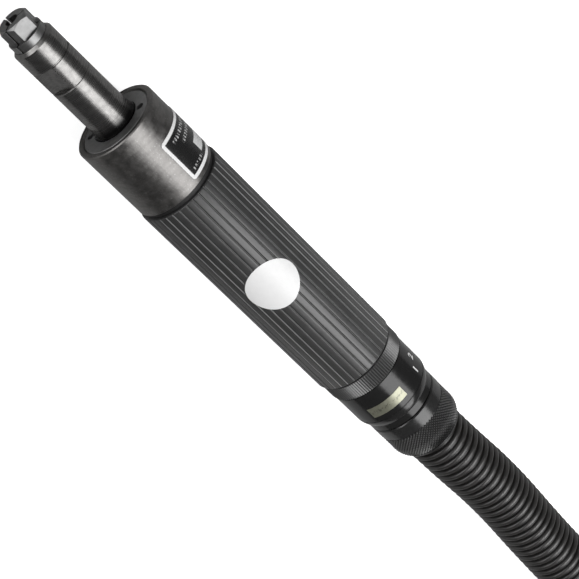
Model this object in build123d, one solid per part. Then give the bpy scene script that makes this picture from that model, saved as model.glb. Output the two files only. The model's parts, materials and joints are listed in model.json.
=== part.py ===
from build123d import *
import os
from math import cos, degrees, pi, radians, tan

# Extended straight air die grinder with a ring throttle and a rear exhaust hose. Millimetres and degrees.
# The spindle axis is X and points at the collet, Z is up, and the tool lies on the floor on its grip.
# The origin is on the floor, below the middle of the tool. Angles round the axis go from the top
# towards +Y.

# ---- lengths of what shows, from the collet backwards ----
collet_head_length = 7.5
collet_neck_gap = 3.5
spindle_reach = 50.1
front_housing_length = 37.0
grip_seal_length = 2.3
grip_length = 116.95
throttle_gap = 0.8
throttle_ring_length = 8.75
ring_face_gap = 0.25
rear_body_length = 24.85
nut_gap = 0.9
hose_nut_length = 22.4

# ---- fits ----
running_fit = 0.05      # radial clearance of what turns on or in another piece
seat_fit = 0.02         # radial clearance of what is screwed or pushed together
free_gap = 0.3          # clearance between pieces that pass each other

# ---- collet and spindle ----
collet_across_flats = 13.0
collet_edge_round = 1.3
collet_bore_radius = 3.0
collet_grip_length = 27.0
collet_relief_radius = 3.4
collet_neck_radius = 8.1
collet_taper_length = 13.0
collet_tail_radius = 5.2
collet_tail_length = 16.0
collet_slot_width = 0.9
collet_slot_length = 33.0
collet_slot_angles = (47.0, 167.0, 287.0)
spindle_radius = 9.6
nose_wall = 0.2         # land between the collet's seat and the nose chamfer
nose_chamfer_length = 1.4
wrench_across_flats = 15.0
wrench_flat_angle = 53.0
flat_start = 11.2       # from the nose to the first groove
flat_length = 12.2      # from the first groove to the second
groove_width = 0.8
groove_depth = 0.35
flare_radius = 10.4
flare_length = 4.2
flare_hollow = -0.18
flare_stand_out = 0.3
journal_radius = 7.5
journal_shoulder_radius = 9.2
spindle_thread_radius = 7.2
spindle_tail_radius = 6.4
spindle_tail = 11.0
spindle_nut_length = 4.5
spindle_nut_radius = 10.5
spindle_nut_notch = 2.4
coupling_across_flats = 9.0
coupling_length = 7.5
drive_across_flats = 6.0
hex_fit = 0.1

# ---- spindle bearings ----
bearing_outer_radius = 16.0
bearing_width = 9.0
bearing_spacing = 2.0
bearing_ring_wall = 2.6
bearing_ball_radius = 2.75
bearing_ball_count = 11
cage_wall = 1.2

# ---- front housing ----
front_housing_radius = 19.4
housing_chamfer = 0.5
cap_radius = 16.6
cap_recess = 0.3
cap_thickness = 8.5
cap_bore_gap = 0.3
cap_chamfer = 0.5
seal_width = 3.0
seal_depth = 1.6
pin_hole_radius = 1.7
pin_hole_depth = 3.5
pin_hole_circle = 26.0
pin_hole_angle = -59.0
bearing_stop_wall = 2.0
bearing_stop_lip = 2.5
plate_length = 21.5
plate_from_rear = 2.3
plate_thickness = 0.25
plate_start_angle = -106.0
plate_span = 90.0
plate_corner = 1.5

# ---- grip and motor housing ----
grip_radius = 20.0
grip_wall = 2.35
flute_count = 36
flute_width = 0.8
flute_depth = 0.45
flute_phase = 2.5
grip_chamfer = 0.4
seal_ring_radius = 18.5
motor_housing_wall = 2.1
nose_step = 0.65
tail_step = 0.7
tail_thread_length = 8.0
exhaust_channel_width = 6.0
exhaust_channel_depth = 1.0
exhaust_channel_angles = (0.0, 120.0, 240.0)
label_radius = 11.7
label_from_front = 54.9
label_angle = 8.4
label_thickness = 0.12

# ---- motor ----
plate_gap = 1.5
bearing_pocket_gap = 0.5
end_plate_thickness = 8.0
end_plate_bore = 5.0
stack_stop_lip = 2.0
liner_length = 55.0
liner_wall = 3.0
eccentricity = 1.1
rotor_top_gap = 0.1
rotor_end_gap = 0.3
rotor_journal_radius = 4.0
rotor_bearing_radius = 8.0
rotor_bearing_width = 5.0
rotor_bearing_wall = 1.3
rotor_ball_radius = 1.2
rotor_ball_count = 9
vane_count = 5
vane_thickness = 1.5
vane_height = 6.0
vane_slot_gap = 0.05
liner_slot_count = 5
liner_slot_width = 2.4
dowel_radius = 1.0
dowel_length = 8.0
spring_thickness = 1.5
spring_wall = 2.8
retainer_length = 4.0
retainer_wall = 4.0
retainer_notch = 3.0

# ---- throttle valve ----
throttle_ring_radius = 19.3
throttle_range = 90.0
valve_flange_length = 5.5
valve_tube_radius = 6.5
valve_core_radius = 9.5
valve_core_half = 14.0
air_bore_radius = 3.2
port_radius = 2.0
port_offset = 5.0
web_half = 2.0
vent_radius = 1.3
vent_circle_radius = 9.2
vent_count = 8
sleeve_half = 11.0
sleeve_wall = 2.45
pocket_half = 8.0
pocket_width = 7.0
pocket_depth = 1.4
pin_radius = 1.5
pin_root = 0.6
pin_ring_depth = 1.2
pin_angles = (90.0, 270.0)
o_ring_section = 0.9
o_ring_inset = 2.0
slot_clearance = 0.3

# ---- rear body, inlet and hose nut ----
rear_body_radius = 18.85
body_groove = 16.9        # from the front of the rear body to the thin groove
body_groove_width = 0.4
body_groove_depth = 0.25
shoulder_start = 3.3      # from the rear of the rear body to the foot of its shoulder
shoulder_length = 4.4
shoulder_radius = 17.3
shoulder_bulge = 0.2
web_thickness = 4.0
web_hole_radius = 2.4
web_hole_circle = 10.8
web_hole_count = 8
spigot_radius = 15.4
spigot_length = 8.5
spigot_bore = 14.0
wire_radius = 0.5
wire_inset = 4.6
muffler_length = 7.0
muffler_inner_radius = 8.0
stem_thread_length = 6.0
stem_thread_radius = 4.6
stem_hex_across_flats = 12.0
stem_hex_length = 4.0
stem_bore_radius = 2.5
barb_radius = 4.1
barb_rise = 0.4
barb_count = 4
barb_pitch = 4.0
ferrule_wall = 0.9
ferrule_length = 13.0
hose_nut_radius = 17.35
hose_nut_round = 8.0
hose_nut_lip = 0.35
hose_nut_edge = 0.45
hose_nut_bulge = 1.0
collar_length = 8.0
collar_wall = 1.3
collar_recess_gap = 0.4
tail_label_length = 5.8
tail_label_from_front = 8.05
tail_label_start = -11.5
tail_label_span = 56.5

# ---- hoses ----
exhaust_hose_radius = 14.25
exhaust_hose_wall = 2.2
hose_start_gap = 1.5
air_hose_radius = 6.0
air_hose_wall = 1.35
cuff_length = 26.0
cuff_wall = 1.8
cuff_overlap = 16.0
cuff_vent_radius = 2.6
cuff_vent_circle = 9.6
cuff_vent_count = 8
plug_ferrule_length = 14.0
plug_hex_across_flats = 14.0
plug_hex_length = 7.0
plug_body_radius = 5.9
plug_body_length = 8.0
plug_neck_radius = 4.2
plug_neck_length = 5.0
plug_nose_radius = 5.9
plug_nose_length = 3.4
plug_tip_radius = 3.95
plug_tip_length = 8.0
plug_bore_radius = 2.6
plug_seat_fit = 0.1

# ---- places along the axis ----
tool_length = (collet_head_length + collet_neck_gap + spindle_reach + front_housing_length
               + grip_seal_length + grip_length + throttle_gap + throttle_ring_length
               + ring_face_gap + rear_body_length + nut_gap + hose_nut_length)
x_tip = tool_length / 2
x_head_rear = x_tip - collet_head_length
x_nose = x_head_rear - collet_neck_gap
x_face = x_nose - spindle_reach
x_housing_rear = x_face - front_housing_length
x_grip_front = x_housing_rear - grip_seal_length
x_grip_rear = x_grip_front - grip_length
x_ring_front = x_grip_rear - throttle_gap
x_ring_rear = x_ring_front - throttle_ring_length
x_body_front = x_ring_rear - ring_face_gap
x_body_rear = x_body_front - rear_body_length
x_nut_front = x_body_rear - nut_gap
x_nut_rear = x_nut_front - hose_nut_length
axis_height = grip_radius

x_cap_front = x_face - cap_recess
x_cap_rear = x_cap_front - cap_thickness
x_bearing_2 = x_cap_rear - bearing_width - bearing_spacing
x_bearings_rear = x_bearing_2 - bearing_width
x_stop_rear = x_bearings_rear - bearing_stop_wall
x_spindle_tail = x_bearings_rear - spindle_tail

x_plate_front = x_spindle_tail - plate_gap
x_liner_front = x_plate_front - end_plate_thickness
x_liner_rear = x_liner_front - liner_length
x_plate_rear = x_liner_rear - end_plate_thickness
x_spring_rear = x_plate_rear - spring_thickness
x_retainer_rear = x_spring_rear - retainer_length
x_flange_rear = x_retainer_rear - valve_flange_length
x_valve = (x_ring_front + x_ring_rear) / 2
x_core_front = x_valve + valve_core_half
x_core_rear = x_valve - valve_core_half
x_housing_tail = x_ring_rear - tail_thread_length
x_web_front = x_core_rear - free_gap
x_web_rear = x_web_front - web_thickness
x_spigot_rear = x_body_rear - spigot_length
x_wire = x_body_rear - wire_inset
x_stem_hex = x_web_rear - free_gap
x_barb_front = x_stem_hex - stem_hex_length
x_barb_rear = x_barb_front - barb_count * barb_pitch
x_collar_front = x_spigot_rear - hose_start_gap
x_collar_rear = x_collar_front - collar_length

# ---- radii that follow from the fits ----
motor_housing_radius = grip_radius - grip_wall - seat_fit
motor_bore_radius = motor_housing_radius - motor_housing_wall
nose_radius = motor_housing_radius - nose_step
tail_radius = motor_housing_radius - tail_step
liner_radius = motor_bore_radius - seat_fit
liner_bore_radius = liner_radius - liner_wall
rotor_radius = liner_bore_radius - eccentricity - rotor_top_gap
seat_radius = collet_neck_radius + running_fit
sleeve_bore_radius = valve_core_radius + running_fit
sleeve_radius = sleeve_bore_radius + sleeve_wall
ring_bore_radius = tail_radius + running_fit
ball_circle_radius = (bearing_outer_radius + journal_radius) / 2
rotor_ball_circle = (rotor_bearing_radius + rotor_journal_radius) / 2
nut_bore_radius = spigot_radius + running_fit
collar_radius = exhaust_hose_radius + collar_wall

# ---- the hoses' routes: out of the nut, back in one wide turn, and beside the tool ----
hose_route = [
    (x_collar_front, 0.0, axis_height),
    (x_nut_rear - 12.0, 0.0, axis_height),
    (-188.0, -1.8, 17.2),
    (-230.0, 0.8, 14.5),
    (-286.0, 2.0, 14.35),
    (-348.0, 31.0, 14.35),
    (-390.0, 84.0, 14.35),
    (-405.0, 151.0, 14.35),
    (-389.0, 217.0, 14.35),
    (-346.0, 270.0, 14.35),
    (-284.0, 299.0, 14.35),
    (-216.0, 300.0, 14.35),
    (-140.0, 296.0, 14.35),
    (-68.0, 293.0, 14.7),
    (-5.0, 297.0, 16.1),
    (46.0, 297.0, 16.4),
]
air_hose_tail = [
    (37.0, 297.0, 16.3),
    (63.0, 296.6, 15.7),
    (82.0, 296.2, 10.6),
    (98.0, 296.4, 8.3),
    (114.0, 297.4, 8.3),
]


def around(angle):
    """Turns a piece from the top towards +Y by this angle about the axis."""
    return Rot(-angle, 0, 0)


def turned(*outline):
    """A solid of revolution about the axis from its (x, radius) corners."""
    corners = [(x, 0, r) for x, r in outline]
    return revolve(make_face(Polyline(*corners, close=True)), Axis.X)


def curved_step(x_front, x_rear, front_radius, rear_radius, bulge):
    """What is cut off a round piece to leave a curved step between two radii; the bulge is from its chord."""
    reach = max(front_radius, rear_radius) + 2
    start, end = (x_front, 0, front_radius), (x_rear, 0, rear_radius)
    middle = Vector((x_front + x_rear) / 2, 0, (front_radius + rear_radius) / 2)
    chord = (Vector(*end) - Vector(*start)).normalized()
    middle += Vector(chord.Z, 0, -chord.X) * bulge
    outer = Polyline(end, (x_rear, 0, reach), (x_front, 0, reach), start)
    return revolve(make_face(ThreePointArc(start, tuple(middle), end) + outer), Axis.X)


def tube(x_front, x_rear, outer, inner):
    return turned((x_rear, inner), (x_front, inner), (x_front, outer), (x_rear, outer))


def notch(x_middle, radius, width, depth, side):
    """What is cut off for a groove: its front (1) or rear (-1) side slopes, the other side is square."""
    x_sloped = x_middle + side * width / 2
    x_square = x_middle - side * width / 2
    return turned((x_square, radius - depth), (x_sloped - side * depth * 0.8, radius - depth),
                  (x_sloped, radius), (x_sloped, radius + 1), (x_square, radius + 1))


def rod(x_front, x_rear, radius):
    return Pos((x_front + x_rear) / 2, 0, 0) * Rot(0, 90, 0) * Cylinder(radius, x_front - x_rear)


def drilled(x_front, x_rear, circle_radius, radius, count, first=0.0):
    """Rods parallel to the axis, evenly spaced on a circle."""
    one = Pos(0, 0, circle_radius) * rod(x_front, x_rear, radius)
    return [around(first + 360 / count * k) * one for k in range(count)]


def radial_rod(x, inner, outer, radius, angle):
    """A rod that stands out from the axis at this angle."""
    return around(angle) * Pos(x, 0, (inner + outer) / 2) * Cylinder(radius, outer - inner)


def hexagon(x_front, x_rear, across_flats, angle=0.0):
    """A hexagonal bar along the axis, with the middle of a flat at this angle."""
    outline = RegularPolygon(across_flats / 2, 6, major_radius=False)
    section = Plane.YZ.offset(x_rear) * Rot(0, 0, -angle) * outline
    return extrude(section, x_front - x_rear, dir=(1, 0, 0))


def arc_piece(x_front, x_rear, outer, inner, start, span):
    """Part of a tube, from the start angle over the span."""
    section = make_face(Polyline((x_rear, 0, inner), (x_front, 0, inner), (x_front, 0, outer),
                                 (x_rear, 0, outer), close=True))
    return around(start + span) * revolve(section, Axis.X, revolution_arc=span)


def group(shapes):
    return Compound([solid for shape in shapes for solid in shape.solids()])


# ---- collet and spindle ----
def collet():
    corner_radius = collet_across_flats / 2 / cos(radians(30))
    x_seat_rear = x_nose - collet_taper_length
    x_tail = x_seat_rear - collet_tail_length
    head = hexagon(x_tip, x_head_rear, collet_across_flats, collet_slot_angles[0])
    head &= turned((x_head_rear, 0), (x_tip, 0), (x_tip, corner_radius - collet_edge_round),
                   (x_tip - collet_edge_round, corner_radius), (x_head_rear, corner_radius))
    stem = turned((x_tail, 0), (x_head_rear, 0), (x_head_rear, collet_neck_radius),
                  (x_nose, collet_neck_radius), (x_seat_rear, collet_tail_radius),
                  (x_tail, collet_tail_radius))
    body = head + stem
    body -= rod(x_tip + 1, x_tip - collet_grip_length, collet_bore_radius)
    body -= rod(x_tip - collet_grip_length, x_tail - 1, collet_relief_radius)
    for angle in collet_slot_angles:
        slot = Pos(x_tip + 1 - collet_slot_length / 2, 0, collet_neck_radius / 2 + 1)
        body -= around(angle) * slot * Box(collet_slot_length, collet_slot_width, collet_neck_radius + 2)
    return body


def spindle():
    x_seat_rear = x_nose - collet_taper_length
    x_bore_rear = x_seat_rear - collet_tail_length - 1
    x_groove_1 = x_nose - flat_start
    x_groove_2 = x_groove_1 - flat_length
    x_flare = x_face + flare_stand_out
    x_seal_rear = x_cap_rear + 1
    tail_bore = collet_tail_radius + running_fit
    outside = turned(
        (x_spindle_tail, 0), (x_bore_rear, 0), (x_bore_rear, tail_bore), (x_seat_rear, tail_bore),
        (x_nose, seat_radius), (x_nose, seat_radius + nose_wall),
        (x_nose - nose_chamfer_length, spindle_radius), (x_flare + flare_length, spindle_radius),
        (x_flare + flare_length, flare_radius), (x_seal_rear, flare_radius),
        (x_seal_rear, journal_shoulder_radius),
        (x_cap_rear, journal_shoulder_radius), (x_cap_rear, journal_radius),
        (x_bearings_rear, journal_radius), (x_bearings_rear, spindle_thread_radius),
        (x_bearings_rear - spindle_nut_length, spindle_thread_radius),
        (x_bearings_rear - spindle_nut_length, spindle_tail_radius),
        (x_spindle_tail, spindle_tail_radius))
    outside -= curved_step(x_flare + flare_length, x_flare, spindle_radius, flare_radius, flare_hollow)
    outside -= notch(x_groove_1, spindle_radius, groove_width, groove_depth, 1)
    outside -= notch(x_groove_2, spindle_radius, groove_width, groove_depth, -1)
    flat_depth = spindle_radius - wrench_across_flats / 2
    for angle in (wrench_flat_angle, wrench_flat_angle + 180):
        flat = Pos((x_groove_1 + x_groove_2) / 2, 0, wrench_across_flats / 2 + flat_depth)
        outside -= around(angle) * flat * Box(flat_length, spindle_radius * 2, flat_depth * 2)
    socket_depth = coupling_length + 2 * free_gap
    outside -= hexagon(x_spindle_tail + socket_depth, x_spindle_tail - 1,
                       coupling_across_flats + 2 * hex_fit)
    return outside


def spindle_nut():
    ring = tube(x_bearings_rear, x_bearings_rear - spindle_nut_length, spindle_nut_radius,
                spindle_thread_radius + seat_fit)
    notch = Box(spindle_nut_length * 2, spindle_nut_notch, spindle_nut_notch)
    for k in range(4):
        ring -= around(90 * k) * Pos(x_bearings_rear, 0, spindle_nut_radius) * notch
    return ring


def drive_coupling():
    x_rear = x_spindle_tail + free_gap
    sleeve = hexagon(x_rear + coupling_length, x_rear, coupling_across_flats)
    return sleeve - hexagon(x_rear + coupling_length + 1, x_rear - 1, drive_across_flats + 2 * hex_fit)


# ---- bearings ----
def outer_ring(x_front, width, outer, wall, ball_circle, ball):
    ring = tube(x_front, x_front - width, outer, outer - wall)
    return ring - raceway(x_front - width / 2, ball_circle, ball)


def inner_ring(x_front, width, bore, wall, ball_circle, ball):
    ring = tube(x_front, x_front - width, bore + wall, bore + seat_fit)
    return ring - raceway(x_front - width / 2, ball_circle, ball)


def raceway(x, ball_circle, ball):
    """The round groove that the balls run in, a running fit larger than they are."""
    section = Plane.XZ * Pos(x, ball_circle) * Circle(ball + running_fit)
    return revolve(section, Axis.X)


def balls(x, ball_circle, ball, count):
    one = Pos(x, 0, ball_circle) * Sphere(ball)
    return [around(360 / count * k) * one for k in range(count)]


def cage(x, ball_circle, ball, count, wall, width):
    ring = tube(x + width / 2, x - width / 2, ball_circle + wall / 2, ball_circle - wall / 2)
    for pocket in balls(x, ball_circle, ball + running_fit * 2, count):
        ring -= pocket
    return ring


def spindle_bearing(x_front):
    x = x_front - bearing_width / 2
    rings = (bearing_width, bearing_outer_radius, bearing_ring_wall, ball_circle_radius, bearing_ball_radius)
    inner = (bearing_width, journal_radius, bearing_ring_wall, ball_circle_radius, bearing_ball_radius)
    return (outer_ring(x_front, *rings), inner_ring(x_front, *inner),
            balls(x, ball_circle_radius, bearing_ball_radius, bearing_ball_count),
            cage(x, ball_circle_radius, bearing_ball_radius, bearing_ball_count, cage_wall,
                 bearing_width - 1.5))


def rotor_bearing(x_front):
    x = x_front - rotor_bearing_width / 2
    outer = outer_ring(x_front, rotor_bearing_width, rotor_bearing_radius, rotor_bearing_wall,
                       rotor_ball_circle, rotor_ball_radius)
    inner = inner_ring(x_front, rotor_bearing_width, rotor_journal_radius, rotor_bearing_wall,
                       rotor_ball_circle, rotor_ball_radius)
    return outer, inner, balls(x, rotor_ball_circle, rotor_ball_radius, rotor_ball_count)


# ---- front housing ----
def front_housing():
    cap_bore = cap_radius + seat_fit
    bearing_bore = bearing_outer_radius + seat_fit
    socket = nose_radius + seat_fit
    return turned(
        (x_housing_rear, socket), (x_stop_rear, socket),
        (x_stop_rear, bearing_outer_radius - bearing_stop_lip),
        (x_bearings_rear, bearing_outer_radius - bearing_stop_lip), (x_bearings_rear, bearing_bore),
        (x_cap_rear, bearing_bore), (x_cap_rear, cap_bore), (x_face - cap_chamfer, cap_bore),
        (x_face, cap_bore + cap_chamfer), (x_face, front_housing_radius - housing_chamfer),
        (x_face - housing_chamfer, front_housing_radius),
        (x_housing_rear + housing_chamfer / 2, front_housing_radius),
        (x_housing_rear, front_housing_radius - housing_chamfer / 2))


def front_cap():
    bore = flare_radius + cap_bore_gap
    x_seal_rear = x_cap_front - 2 - seal_width
    cap = turned(
        (x_cap_rear, bore), (x_seal_rear, bore), (x_seal_rear, bore + seal_depth),
        (x_seal_rear + seal_width, bore + seal_depth), (x_seal_rear + seal_width, bore),
        (x_cap_front, bore), (x_cap_front, cap_radius - cap_chamfer),
        (x_cap_front - cap_chamfer, cap_radius), (x_cap_rear, cap_radius))
    for angle in (pin_hole_angle, pin_hole_angle + 180):
        hole = Pos(0, 0, pin_hole_circle / 2) * rod(x_cap_front + 1, x_cap_front - pin_hole_depth,
                                                    pin_hole_radius)
        cap -= around(angle) * hole
    return cap


def spindle_seal():
    bore = flare_radius + cap_bore_gap
    x_seal_rear = x_cap_front - 2 - seal_width
    return tube(x_seal_rear + seal_width - seat_fit, x_seal_rear + seat_fit, bore + seal_depth - seat_fit,
                flare_radius + running_fit)


def bearing_spacer():
    return tube(x_cap_rear - bearing_width, x_bearing_2, bearing_outer_radius,
                bearing_outer_radius - bearing_ring_wall)


def spindle_spacer():
    return tube(x_cap_rear - bearing_width, x_bearing_2, journal_radius + bearing_ring_wall,
                journal_radius + seat_fit)


def data_plate():
    x_rear = x_housing_rear + plate_from_rear
    plate = arc_piece(x_rear + plate_length, x_rear, front_housing_radius + plate_thickness,
                      front_housing_radius + seat_fit / 2, plate_start_angle, plate_span)
    corners = plate.edges().filter_by(lambda e: e.length < plate_thickness * 1.2)
    return fillet(corners, plate_corner)


# ---- grip and motor housing ----
def grip_seal_ring():
    return tube(x_housing_rear - seat_fit, x_grip_front + seat_fit, seal_ring_radius, nose_radius + seat_fit)


def grip_sleeve():
    inner = grip_radius - grip_wall
    sleeve = turned(
        (x_grip_rear, inner), (x_grip_front, inner), (x_grip_front, grip_radius - grip_chamfer),
        (x_grip_front - grip_chamfer, grip_radius), (x_grip_rear + grip_chamfer, grip_radius),
        (x_grip_rear, grip_radius - grip_chamfer))
    flute = Pos((x_grip_front + x_grip_rear) / 2, 0, grip_radius)
    flute *= Box(grip_length + 2, flute_width, flute_depth * 2)
    return sleeve - [around(flute_phase + 360 / flute_count * k) * flute for k in range(flute_count)]


def grip_label():
    x_label = x_grip_front - label_from_front
    shell = tube(x_label + label_radius + 1, x_label - label_radius - 1, grip_radius + label_thickness,
                 grip_radius + seat_fit / 2)
    return shell & around(label_angle) * Pos(x_label, 0, grip_radius) * Cylinder(label_radius, grip_radius)


def motor_housing():
    x_socket = x_stop_rear - free_gap / 2
    x_stack = x_plate_front + stack_stop_lip
    front_bore = motor_bore_radius - 1.0
    shell = turned(
        (x_housing_tail, motor_bore_radius), (x_plate_front, motor_bore_radius),
        (x_plate_front, motor_bore_radius - stack_stop_lip), (x_stack, motor_bore_radius - stack_stop_lip),
        (x_stack, front_bore), (x_socket, front_bore), (x_socket, nose_radius),
        (x_grip_front, nose_radius), (x_grip_front, motor_housing_radius),
        (x_grip_rear, motor_housing_radius), (x_grip_rear, tail_radius), (x_housing_tail, tail_radius))
    x_channel = x_liner_front - end_plate_thickness
    channel_length = x_channel - x_flange_rear + 2
    channel = Pos(x_channel - channel_length / 2, 0, motor_bore_radius)
    channel *= Box(channel_length, exhaust_channel_width, exhaust_channel_depth * 2)
    shell -= [around(angle) * channel for angle in exhaust_channel_angles]
    half_pin = degrees((pin_radius + slot_clearance) / tail_radius)
    for side in pin_angles:
        shell -= arc_piece(x_valve + pin_radius + slot_clearance, x_valve - pin_radius - slot_clearance,
                           tail_radius + 1, motor_bore_radius - 1,
                           side - throttle_range - half_pin, throttle_range + 2 * half_pin)
    return shell


# ---- motor ----
def end_plate(x_inner, x_outer, x_pocket):
    """A bearing plate at one end of the liner; its pocket opens away from the liner."""
    low, high = sorted((x_inner, x_outer))
    plate = tube(high, low, liner_radius, end_plate_bore)
    low, high = sorted((x_pocket, x_outer))
    return plate - rod(high, low, rotor_bearing_radius + seat_fit)


def front_end_plate():
    x_pocket = x_liner_front + end_plate_thickness - rotor_bearing_width - bearing_pocket_gap
    plate = end_plate(x_liner_front, x_plate_front, x_pocket)
    return plate - dowel(x_liner_front, seat_fit)


def rear_end_plate():
    x_pocket = x_liner_rear - end_plate_thickness + rotor_bearing_width + bearing_pocket_gap
    plate = end_plate(x_liner_rear, x_plate_rear, x_pocket)
    plate -= dowel(x_liner_rear, seat_fit)
    return plate - drilled(x_liner_rear + 1, x_plate_rear - 1, vent_circle_radius + 1, vent_radius, 3, 20)


def cylinder_liner():
    liner = rod(x_liner_front, x_liner_rear, liner_radius)
    liner -= Pos(0, 0, -eccentricity) * rod(x_liner_front + 1, x_liner_rear - 1, liner_bore_radius)
    pitch = liner_length / (liner_slot_count + 1)
    for k in range(liner_slot_count):
        x_slot = x_liner_front - pitch * (k + 1)
        liner -= around(120) * Pos(x_slot, 0, liner_radius) * Box(liner_slot_width, 9.0, liner_wall * 3)
    return liner - dowel(x_liner_front, seat_fit) - dowel(x_liner_rear, seat_fit)


def dowel(x, gap=0.0):
    """A pin that keys the liner to one end plate, in the thick side of the liner's wall."""
    circle = liner_radius - (liner_wall - eccentricity) / 2 - eccentricity
    half = dowel_length / 2 + gap
    return Pos(0, 0, circle) * rod(x + half, x - half, dowel_radius + gap)


def rotor():
    x_front = x_liner_front - rotor_end_gap
    x_rear = x_liner_rear + rotor_end_gap
    x_drive = x_spindle_tail + free_gap + coupling_length
    x_front_bearing = x_plate_front - 0.5
    x_rear_end = x_plate_rear + 0.5
    body = rod(x_front, x_rear, rotor_radius)
    for k in range(vane_count):
        slot_depth = vane_height + 0.3
        slot = Pos((x_front + x_rear) / 2, 0, rotor_radius - slot_depth / 2 + 1)
        slot *= Box(x_front - x_rear + 1, vane_thickness + 2 * vane_slot_gap, slot_depth + 2)
        body -= around(360 / vane_count * k) * slot
    body += rod(x_front_bearing, x_front - 0.5, rotor_journal_radius)
    body += rod(x_rear + 0.5, x_rear_end, rotor_journal_radius)
    return body + hexagon(x_drive, x_front_bearing, drive_across_flats)


def rotor_vanes():
    x_front = x_liner_front - rotor_end_gap * 1.5
    x_rear = x_liner_rear + rotor_end_gap * 1.5
    vane = Pos((x_front + x_rear) / 2, 0, rotor_radius - vane_height / 2 - 0.1)
    vane *= Box(x_front - x_rear, vane_thickness, vane_height)
    return group([around(360 / vane_count * k) * vane for k in range(vane_count)])


def preload_spring():
    return tube(x_plate_rear, x_spring_rear, liner_radius, liner_radius - spring_wall)


def motor_retainer():
    inner = motor_bore_radius - retainer_wall
    ring = tube(x_spring_rear, x_retainer_rear, motor_bore_radius - seat_fit, inner)
    notch = Box(retainer_notch, retainer_notch, retainer_notch)
    return ring - [around(angle) * Pos(x_retainer_rear, 0, inner) * notch for angle in (0, 180)]


# ---- throttle valve ----
def valve_body():
    flange = motor_bore_radius - seat_fit
    body = turned(
        (x_web_rear, 0), (x_retainer_rear, 0), (x_retainer_rear, flange), (x_flange_rear, flange),
        (x_flange_rear, valve_tube_radius), (x_core_front, valve_tube_radius),
        (x_core_front, valve_core_radius), (x_core_rear, valve_core_radius),
        (x_core_rear, valve_tube_radius), (x_web_rear, valve_tube_radius))
    body -= rod(x_retainer_rear + 1, x_valve + web_half, air_bore_radius)
    body -= rod(x_valve - web_half, x_web_rear - 1, air_bore_radius)
    body -= rod(x_web_rear + stem_thread_length, x_web_rear - 1, stem_thread_radius + seat_fit)
    for x_port in (x_valve + port_offset, x_valve - port_offset):
        for angle in (0, 180):
            body -= radial_rod(x_port, 0, valve_core_radius + 1, port_radius, angle)
    body -= drilled(x_retainer_rear + 1, x_flange_rear - 1, vent_circle_radius, vent_radius, vent_count, 10)
    for ring in o_ring_places():
        body -= tube(ring + o_ring_section, ring - o_ring_section, valve_core_radius + 1,
                     valve_core_radius - 2 * o_ring_section)
    return body


def o_ring_places():
    return (x_valve + sleeve_half - o_ring_inset, x_valve - sleeve_half + o_ring_inset)


def valve_o_rings():
    ring = Rot(0, 90, 0) * Torus(valve_core_radius - o_ring_section, o_ring_section - seat_fit)
    rings = [Pos(x, 0, 0) * ring
             for x in o_ring_places()]
    return group(rings)


def throttle_sleeve():
    sleeve = tube(x_valve + sleeve_half, x_valve - sleeve_half, sleeve_radius, sleeve_bore_radius)
    pocket = Box(pocket_half * 2, pocket_width, 2 * (sleeve_bore_radius + pocket_depth))
    sleeve -= around(throttle_range) * Pos(x_valve, 0, 0) * pocket
    return sleeve - [radial_rod(x_valve, 0, sleeve_radius + 1, pin_radius + seat_fit, angle)
                     for angle in pin_angles]


def throttle_pins():
    outer = ring_bore_radius + pin_ring_depth
    inner = sleeve_bore_radius + pin_root
    return group([radial_rod(x_valve, inner, outer, pin_radius, angle) for angle in pin_angles])


def throttle_ring():
    ring = turned(
        (x_ring_rear, ring_bore_radius), (x_ring_front, ring_bore_radius),
        (x_ring_front, throttle_ring_radius - 0.3), (x_ring_front - 0.3, throttle_ring_radius),
        (x_ring_rear + 0.3, throttle_ring_radius), (x_ring_rear, throttle_ring_radius - 0.3))
    outer = ring_bore_radius + pin_ring_depth + seat_fit
    return ring - [radial_rod(x_valve, 10, outer, pin_radius + seat_fit, angle) for angle in pin_angles]


# ---- rear body, inlet and hose nut ----
def rear_body():
    thread = tail_radius + seat_fit
    x_groove = x_body_front - body_groove
    body = turned(
        (x_spigot_rear, spigot_bore), (x_web_rear, spigot_bore), (x_web_rear, valve_tube_radius + seat_fit),
        (x_web_front, valve_tube_radius + seat_fit), (x_web_front, thread), (x_body_front, thread),
        (x_body_front, rear_body_radius), (x_body_rear, rear_body_radius), (x_body_rear, spigot_radius),
        (x_wire + wire_radius, spigot_radius),
        (x_wire + wire_radius, spigot_radius - 2 * wire_radius),
        (x_wire - wire_radius, spigot_radius - 2 * wire_radius), (x_wire - wire_radius, spigot_radius),
        (x_spigot_rear, spigot_radius))
    x_foot = x_body_rear + shoulder_start
    body -= curved_step(x_foot + shoulder_length, x_foot, rear_body_radius, shoulder_radius, shoulder_bulge)
    body -= tube(x_foot, x_body_rear - 1, rear_body_radius + 2, shoulder_radius)
    body -= tube(x_groove + body_groove_width / 2, x_groove - body_groove_width / 2, rear_body_radius + 1,
                 rear_body_radius - body_groove_depth)
    return body - drilled(x_web_front + 1, x_web_rear - 1, web_hole_circle, web_hole_radius, web_hole_count)


def tail_label():
    x_front = x_body_front - tail_label_from_front
    return arc_piece(x_front, x_front - tail_label_length, rear_body_radius + label_thickness,
                     rear_body_radius + seat_fit / 2, tail_label_start, tail_label_span)


def exhaust_muffler():
    x_front = x_web_rear - free_gap
    return tube(x_front, x_front - muffler_length, spigot_bore - seat_fit, muffler_inner_radius)


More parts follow.
